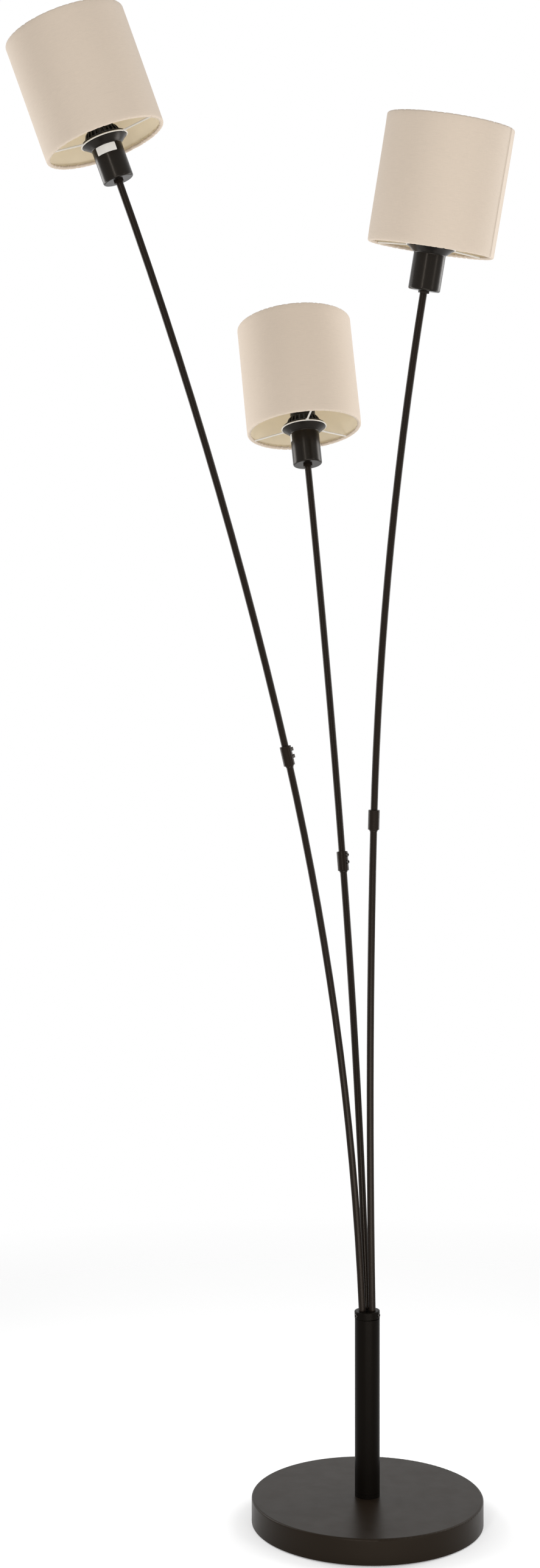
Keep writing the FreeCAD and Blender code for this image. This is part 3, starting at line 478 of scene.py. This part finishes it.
def cover_profile(wall, roll, turn_in, height, radius):
    """The wall's outline as rows of radius, height and share of the tucks, and the lining's rows.

    The rows go down the outside, round the lower wire, up the lining and over the upper wire.
    """
    mid, inner = radius - roll, radius - wall
    outside = [(radius, z, 0.0) for z in np.linspace(height - roll, roll, 25)]
    bend = [(mid + roll * math.cos(math.pi * i / 8), roll - roll * math.sin(math.pi * i / 8),
             min(i / 5, 1.0)) for i in range(1, 9)]
    fold = [(mid - roll * 0.55, roll * 1.7, 1.0), (inner - 1.3 * MM, turn_in * 0.62, 1.0),
            (inner - 0.75 * MM, turn_in, 0.7), (inner - 0.1 * MM, turn_in + 0.25 * MM, 0.0)]
    flat = turn_in + 2 * MM
    lining = [(inner, z, 0.0) for z in np.linspace(flat, height - flat, 13)]
    over = [(r, height - z, share) for r, z, share in reversed(bend + fold)]
    start = len(outside) + len(bend)
    end = start + 2 * len(fold) + len(lining) - 1
    return np.array(outside + bend + fold + lining + over), slice(start, end)


def tuck_heights(count, seed):
    """The tucks' height round the edge: narrow folds at uneven distances, steeper on one side."""
    rng = np.random.RandomState(seed)
    turn = np.linspace(0, 2 * math.pi, STEPS, endpoint=False)
    height = np.zeros(STEPS)
    for i in range(count):
        middle = 2 * math.pi * (i + rng.uniform(-0.35, 0.35)) / count
        width, size = rng.uniform(0.012, 0.032), rng.uniform(0.25, 1.0)
        away = (turn - middle + math.pi) % (2 * math.pi) - math.pi
        lean = np.where(away > 0, away * 2.2, away)
        height = np.maximum(height, size * np.exp(-(lean / width) ** 2))
    return height


def cover_surface(arm, number, settings, height, radius):
    """A cover's points, the lengths round and along it for the weave, and the lining's rows."""
    ring, lining = cover_profile(settings.wall, settings.roll, settings.turn_in, height, radius)
    past = np.linspace(0, 2 * math.pi, STEPS, endpoint=False)
    turn = math.radians(SEAMS[arm]) + past
    r, z, share = ring[:, 0:1], ring[:, 1:2], ring[:, 2:3]
    low = z < height / 2
    lower = tuck_heights(settings.tucks, 11 + number)
    upper = tuck_heights(settings.tucks, 31 + number)
    tucks = np.where(low, lower, upper) * share * settings.tuck_height
    # the wall is never quite round: slow waves that fade out towards the wires
    phases = np.random.RandomState(51 + number).uniform(0, 2 * math.pi, 4)
    wave = sum(np.sin(turn * (k + 2) + phases[k] + z * (9 + 7 * k)) for k in range(4))
    fade = np.clip(np.minimum(z, height - z) / (12 * MM), 0, 1)
    # the lap: the cloth steps out at the seam and falls back over a strip
    step = np.clip(1 - past * radius / settings.lap_width, 0, 1) * settings.lap
    outer = (r > radius - settings.wall / 2) * 1.0
    reach = r + wave * 0.09 * MM * fade - tucks * 0.6 + outer * step
    rise = z + tucks * np.where(low, 0.55, -0.55)
    points = np.stack([reach * np.cos(turn), reach * np.sin(turn), rise], axis=-1)
    around = np.append(past, 2 * math.pi) * radius
    gaps = np.hypot(*np.diff(np.vstack([ring, ring[:1]])[:, :2], axis=0).T)
    return points, (around, np.append(0.0, np.cumsum(gaps))), lining


def make_cover(arm, number, settings, outside, inside):
    place = arm_axis(arm)
    low, high, radius = height_of(f"{arm}_shade_cover", place)
    height = high - low
    points, lengths, lining = cover_surface(arm, number, settings, height, radius)
    mesh = lathe(f"{arm}_cloth", points, place, lengths)
    mesh.materials.append(outside)
    mesh.materials.append(inside)
    slots = np.zeros(points.shape[:2], dtype=int)
    slots[lining] = 1
    mesh.polygons.foreach_set("material_index", slots.ravel())
    mesh.update()
    cover = new_piece(f"{arm}_cloth", mesh, f"arm_{arm}")
    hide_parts(f"{arm}_shade_cover")


class LAMP_OT_shade_covers(bpy.types.Operator):
    """Cloth drums with rolled edges, tucks and a lapped seam, one on each wire frame"""
    bl_idname = "lamp.shade_covers"
    bl_label = "Shade covers"

    def execute(self, context):
        settings = context.scene.lamp_shades
        outside = woven_cloth("beige_weave", tuple(settings.cloth), settings.lap_width)
        inside = smooth_lining("cream_lining", tuple(settings.lining))
        for number, arm in enumerate(ARMS):
            make_cover(arm, number, settings, outside, inside)
        return {"FINISHED"}


# ---- fittings ----------------------------------------------------------------------


# a grip's height, and its middle above the shade ring's underside
GRIP_HEIGHT, GRIP_MIDDLE = 1.9 * MM, 1.35 * MM
# the thread's centre line lies just inside the sleeve's wall, clear of the ring and the mouth
THREAD_RADIUS, THREAD_START, THREAD_END = 13.85 * MM, 1.2 * MM, 1.6 * MM


class LAMP_OT_ring_grips(bpy.types.Operator):
    """Fine ribs round the flange of each shade ring, for the fingers that tighten it"""
    bl_idname = "lamp.ring_grips"
    bl_label = "Ring grips"

    def execute(self, context):
        settings = context.scene.lamp_fittings
        tree = grip_tree()
        finish = moulded("grip_plastic", tuple(context.scene.lamp_finish.plastic), 0.42)
        for arm in ARMS:
            place = arm_axis(arm)
            low, _, radius = height_of(f"{arm}_shade_ring", place)
            lift = Matrix.Translation((0, 0, low + GRIP_MIDDLE))
            mesh = tree.build(f"{arm}_ring_grips", place @ lift, {
                "Radius": radius - settings.grip_size * 0.3, "Count": settings.grips,
                "Thickness": settings.grip_size, "Height": GRIP_HEIGHT, "Material": finish})
            new_piece(f"{arm}_ring_grips", mesh, f"arm_{arm}")
        return {"FINISHED"}


class LAMP_OT_sleeve_threads(bpy.types.Operator):
    """The thread on each lamp holder's sleeve, above the shade ring"""
    bl_idname = "lamp.sleeve_threads"
    bl_label = "Sleeve threads"

    def execute(self, context):
        settings = context.scene.lamp_fittings
        tree = thread_tree()
        finish = moulded("thread_plastic", tuple(context.scene.lamp_finish.plastic), 0.4)
        for arm in ARMS:
            place = arm_axis(arm)
            _, top, _ = height_of(f"{arm}_lamp_holder", place)
            _, ring_top, _ = height_of(f"{arm}_shade_ring", place)
            start, end = ring_top + THREAD_START, top - THREAD_END
            mesh = tree.build(f"{arm}_sleeve_thread", place @ Matrix.Translation((0, 0, start)), {
                "Radius": THREAD_RADIUS, "Turns": (end - start) / settings.thread_pitch,
                "Thickness": settings.thread_size, "Height": end - start, "Material": finish})
            new_piece(f"{arm}_sleeve_thread", mesh, f"arm_{arm}")
        return {"FINISHED"}


# a hub ring's clearance outside the cup's rim, and its middle above that rim
RING_GAP, RING_LIFT = 0.1 * MM, 0.5 * MM


def make_hub_ring(arm, wire, finish, steps=144, sides=10):
    place = arm_axis(arm)
    _, top, rim = height_of(f"{arm}_cup", place)
    middle = rim + RING_GAP + wire / 2
    turn = np.linspace(0, 2 * math.pi, steps, endpoint=False)
    side = np.linspace(0, -2 * math.pi, sides, endpoint=False)[:, None]
    r = middle + wire / 2 * np.cos(side)
    z = top + RING_LIFT + wire / 2 * np.sin(side)
    points = np.stack(np.broadcast_arrays(r * np.cos(turn), r * np.sin(turn), z), axis=-1)
    lengths = (np.linspace(0, 2 * math.pi * middle, steps + 1),
               np.linspace(0, math.pi * wire, sides + 1))
    mesh = lathe(f"{arm}_hub_ring", points, place, lengths)
    mesh.materials.append(finish)
    new_piece(f"{arm}_hub_ring", mesh, f"arm_{arm}")


class LAMP_OT_hub_rings(bpy.types.Operator):
    """The white wire ring on the tabs of each frame, round the cup's rim"""
    bl_idname = "lamp.hub_rings"
    bl_label = "Hub rings"

    def execute(self, context):
        colour = tuple(context.scene.lamp_finish.wire)
        finish = powder_coat("hub_ring_coat", colour, 0.38, 0.5, 0.04)
        for arm in ARMS:
            make_hub_ring(arm, context.scene.lamp_fittings.hub_wire, finish)
        return {"FINISHED"}


# arm, turn of the plate's middle about the cup, and its upper edge below the cup's rim
PLATES = (("left", -6, 7.5 * MM), ("middle", -104, 7.5 * MM))
CUP_RADIUS = 16.5 * MM


def plate_surface(width, height, turn, top):
    """Points and faces of a thin closed plate, bent round a cup's neck."""
    columns, rows = 28, 5
    points, faces = [], []
    for out in (0.02 * MM, 0.16 * MM):
        for i in range(rows + 1):
            for j in range(columns + 1):
                u, v = j / columns * 2 - 1, i / rows * 2 - 1
                # the corners are slightly rounded
                trim = 1 - 0.02 * (abs(u) > 0.99) * (abs(v) > 0.99)
                a = turn + u * width / 2 / CUP_RADIUS * trim
                r = CUP_RADIUS + out
                points.append((r * math.cos(a), r * math.sin(a), top - height * (1 - v * trim) / 2))
    layer = (rows + 1) * (columns + 1)
    for side in (0, 1):
        for i in range(rows):
            for j in range(columns):
                a = side * layer + i * (columns + 1) + j
                quad = (a, a + 1, a + columns + 2, a + columns + 1)
                faces.append(quad if side else quad[::-1])
    rim = ([j for j in range(columns)]
           + [columns + i * (columns + 1) for i in range(rows)]
           + [rows * (columns + 1) + j for j in range(columns, 0, -1)]
           + [i * (columns + 1) for i in range(rows, 0, -1)])
    faces += [(a, b, b + layer, a + layer) for a, b in zip(rim, rim[1:] + rim[:1])]
    return points, faces


class LAMP_OT_blank_plates(bpy.types.Operator):
    """A blank white plate wrapped round the neck of two cups"""
    bl_idname = "lamp.blank_plates"
    bl_label = "Blank plates"

    def execute(self, context):
        settings = context.scene.lamp_fittings
        f = Finish("white_sticker")
        tone = tuple(context.scene.lamp_finish.plate)
        f.set(Base_Color=f.blend(f.noise(160, 3), shade_of(tone, 0.97), shade_of(tone, 1.03)),
              Roughness=f.between(f.noise(90, 2), 0.42, 0.52))
        f.set(Normal=f.bump(f.noise(500, 2), 0.00002, 0.3))
        for arm, turn, below in PLATES:
            place = arm_axis(arm)
            _, rim, _ = height_of(f"{arm}_cup", place)
            points, faces = plate_surface(settings.plate_width, settings.plate_height,
                                          math.radians(turn), rim - below)
            mesh = bpy.data.meshes.new(f"{arm}_plate")
            mesh.from_pydata(points, [], faces)
            mesh.transform(place)
            mesh.materials.append(f.material)
            mesh.update()
            new_piece(f"{arm}_plate", mesh, f"arm_{arm}")
        return {"FINISHED"}


# ---- finishes of the solid pieces --------------------------------------------------


class LAMP_OT_finishes(bpy.types.Operator):
    """A finish for every solid piece: coats, plastics, plated metal, cast iron and foam"""
    bl_idname = "lamp.finishes"
    bl_label = "Finishes"

    def execute(self, context):
        colours = context.scene.lamp_finish
        coat = powder_coat("bronze_coat", tuple(colours.coat), 0.3, 0.035)
        rods = powder_coat("rod_coat", tuple(colours.rods), 0.26, 0.11)
        cups = powder_coat("cup_coat", tuple(colours.coat), 0.24, 0.2)
        black = moulded("holder_plastic", tuple(colours.plastic), 0.4)
        wire = powder_coat("wire_coat", tuple(colours.wire), 0.38, 0.5, 0.04)
        zinc = bare_metal("zinc_plate", (0.52, 0.52, 0.5), 0.32)
        screw = bare_metal("blackened_screw", (0.06, 0.055, 0.05), 0.34, (1, 1, 6))
        brass = bare_metal("pressed_brass", (0.63, 0.44, 0.19), 0.26, (1, 1, 8))
        sheath = moulded("lead_sheath", (0.62, 0.61, 0.58), 0.45, 400)
        wanted = {
            "base_cover": powder_coat("base_coat", tuple(colours.base), 0.36, 0.11),
            "base_weight": cast_iron("rough_cast"), "base_pad": foam("dense_foam"),
            "base_stud": zinc, "base_washer": zinc, "base_nut": zinc,
            "inlet_grommet": moulded("grommet_rubber", (0.02, 0.02, 0.019), 0.6),
            "column_tube": coat, "column_foot": coat, "column_cap": coat,
            "cap_screws": screw, "terminal_block": moulded("block_plastic", (0.7, 0.7, 0.67), 0.4)}
        for arm in ARMS:
            for kind in ("lower_rod", "coupling", "upper_rod", "collar"):
                wanted[f"{arm}_{kind}"] = rods
            wanted.update({
                f"{arm}_cup": cups,
                f"{arm}_coupling_screws": screw, f"{arm}_locknut": zinc,
                f"{arm}_lamp_holder": black, f"{arm}_shade_ring": black,
                f"{arm}_screw_shell": brass, f"{arm}_contact": brass,
                f"{arm}_shade_frame": wire, f"{arm}_top_ring": wire, f"{arm}_lead": sheath})
        for node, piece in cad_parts.items():
            if node.endswith("shade_cover"):
                continue
            piece.data.materials.clear()
            piece.data.materials.append(wanted[node])
        return {"FINISHED"}


# ---- studio ------------------------------------------------------------------------


def soft_light(name, place, size, power, aim):
    lamp = bpy.data.lights.new(name, "AREA")
    lamp.shape, lamp.size, lamp.size_y, lamp.energy = "RECTANGLE", size[0], size[1], power
    light = bpy.data.objects.new(name, lamp)
    bpy.context.scene.collection.objects.link(light)
    light.location = place
    light.rotation_euler = (Vector(aim) - Vector(place)).to_track_quat("-Z", "Y").to_euler()
    return light


def white_where_seen(tree, strength, white=1.0):
    """One strength where a surface is seen, also in gloss or glass, and another for its light."""
    path = tree.nodes.new("ShaderNodeLightPath")
    seen = path.outputs["Is Camera Ray"]
    for ray in ("Is Glossy Ray", "Is Transmission Ray"):
        either = tree.nodes.new("ShaderNodeMath")
        either.operation = "MAXIMUM"
        tree.links.new(seen, either.inputs[0])
        tree.links.new(path.outputs[ray], either.inputs[1])
        seen = either.outputs[0]
    power = tree.nodes.new("ShaderNodeMix")
    power.data_type = "FLOAT"
    tree.links.new(seen, power.inputs[0])
    power.inputs[2].default_value = strength
    power.inputs[3].default_value = white
    return power.outputs[0]


def paper_material(settings):
    """Pale paper that is white where it is seen and fades out with the distance."""
    f = Finish("pale_paper")
    glow = white_where_seen(f.tree, 0.0, settings.glow)
    f.set(Base_Color=tuple(settings.paper) + (1,), Roughness=0.9, Specular_IOR_Level=0.1,
          Emission_Color=(1, 1, 1, 1), Emission_Strength=glow)
    length = f.add("ShaderNodeVectorMath")
    length.operation = "LENGTH"
    f.tree.links.new(f.place.outputs["Object"], length.inputs[0])
    mix = f.add("ShaderNodeMixShader")
    f.tree.links.new(f.between(length.outputs["Value"], 0, 1, 0.25, 1.5), mix.inputs[0])
    f.tree.links.new(f.shader.outputs[0], mix.inputs[1])
    f.tree.links.new(f.add("ShaderNodeBsdfTransparent").outputs[0], mix.inputs[2])
    f.tree.links.new(mix.outputs[0], f.tree.nodes["Material Output"].inputs["Surface"])
    return f.material


def lay_paper(settings, radius=6, corners=48, below=0.2 * MM):
    turns = [2 * math.pi * i / corners for i in range(corners)]
    mesh = bpy.data.meshes.new("paper")
    mesh.from_pydata([(radius * math.cos(a), radius * math.sin(a), -below) for a in turns],
                     [], [tuple(range(corners))])
    mesh.materials.append(paper_material(settings))
    paper = bpy.data.objects.new("paper", mesh)
    bpy.context.scene.collection.objects.link(paper)


def white_surroundings(strength):
    world = bpy.data.worlds.new("studio")
    world.use_nodes = True
    background = world.node_tree.nodes["Background"]
    background.inputs["Color"].default_value = (1, 1, 1, 1)
    world.node_tree.links.new(white_where_seen(world.node_tree, strength),
                              background.inputs["Strength"])
    return world


def set_up_camera(settings):
    camera = bpy.data.objects.new("camera", bpy.data.cameras.new("camera"))
    bpy.context.scene.collection.objects.link(camera)
    camera.location = settings.eye
    camera.rotation_euler = (math.pi / 2, 0, 0)
    camera.data.sensor_fit = "VERTICAL"
    camera.data.sensor_height = 36
    camera.data.lens = settings.lens
    return camera


class LAMP_OT_stage(bpy.types.Operator):
    """A pale paper floor, soft lights and the camera"""
    bl_idname = "lamp.stage"
    bl_label = "Studio"

    def execute(self, context):
        scene, settings = context.scene, context.scene.lamp_stage
        lay_paper(settings)
        scene.world = white_surroundings(settings.sky)
        soft_light("key", (-0.9, -2.4, 1.7), (0.1, 1.8), settings.key, (0, 0, 1.0))
        soft_light("fill", (2.0, -1.5, 1.4), (0.5, 1.8), settings.fill, (0, 0, 1.0))
        soft_light("low", (0.2, -1.3, 0.06), (1.4, 0.5), settings.low, (-0.1, 0, 1.3))
        soft_light("rim_left", (-1.0, 0.5, 1.0), (0.5, 1.3), settings.rim, (0, 0, 1.2))
        soft_light("rim_right", (0.95, 0.5, 1.25), (0.5, 1.3), settings.rim, (0, 0, 1.25))
        scene.camera = set_up_camera(settings)
        scene.view_settings.view_transform = "Standard"
        return {"FINISHED"}


# ---- add-on ------------------------------------------------------------------------


OPERATORS = (LAMP_OT_finishes, LAMP_OT_shade_covers, LAMP_OT_ring_grips,
             LAMP_OT_sleeve_threads, LAMP_OT_hub_rings, LAMP_OT_blank_plates, LAMP_OT_stage)
SETTINGS = {"lamp_shades": ShadeSettings, "lamp_finish": FinishSettings,
            "lamp_fittings": FittingSettings, "lamp_stage": StageSettings}


class LAMP_PT_sidebar(bpy.types.Panel):
    """Pieces and sizes of the floor lamp"""
    bl_label = "Floor Lamp"
    bl_idname = "LAMP_PT_sidebar"
    bl_space_type = "VIEW_3D"
    bl_region_type = "UI"
    bl_category = "Floor Lamp"

    def draw(self, context):
        for operator in OPERATORS:
            self.layout.operator(operator.bl_idname)
        for name, group in SETTINGS.items():
            box = self.layout.box()
            settings = getattr(context.scene, name)
            for label in group.__annotations__:
                box.prop(settings, label)


CLASSES = (*SETTINGS.values(), *OPERATORS, LAMP_PT_sidebar)


def register():
    for cls in CLASSES:
        bpy.utils.register_class(cls)
    for name, group in SETTINGS.items():
        setattr(bpy.types.Scene, name, bpy.props.PointerProperty(type=group))


def unregister():
    for name in SETTINGS:
        delattr(bpy.types.Scene, name)
    for cls in reversed(CLASSES):
        bpy.utils.unregister_class(cls)


def main():
    register()
    for operator in OPERATORS:
        name = operator.bl_idname.split(".")[1]
        getattr(bpy.ops.lamp, name)()


if __name__ == "__main__":
    main()
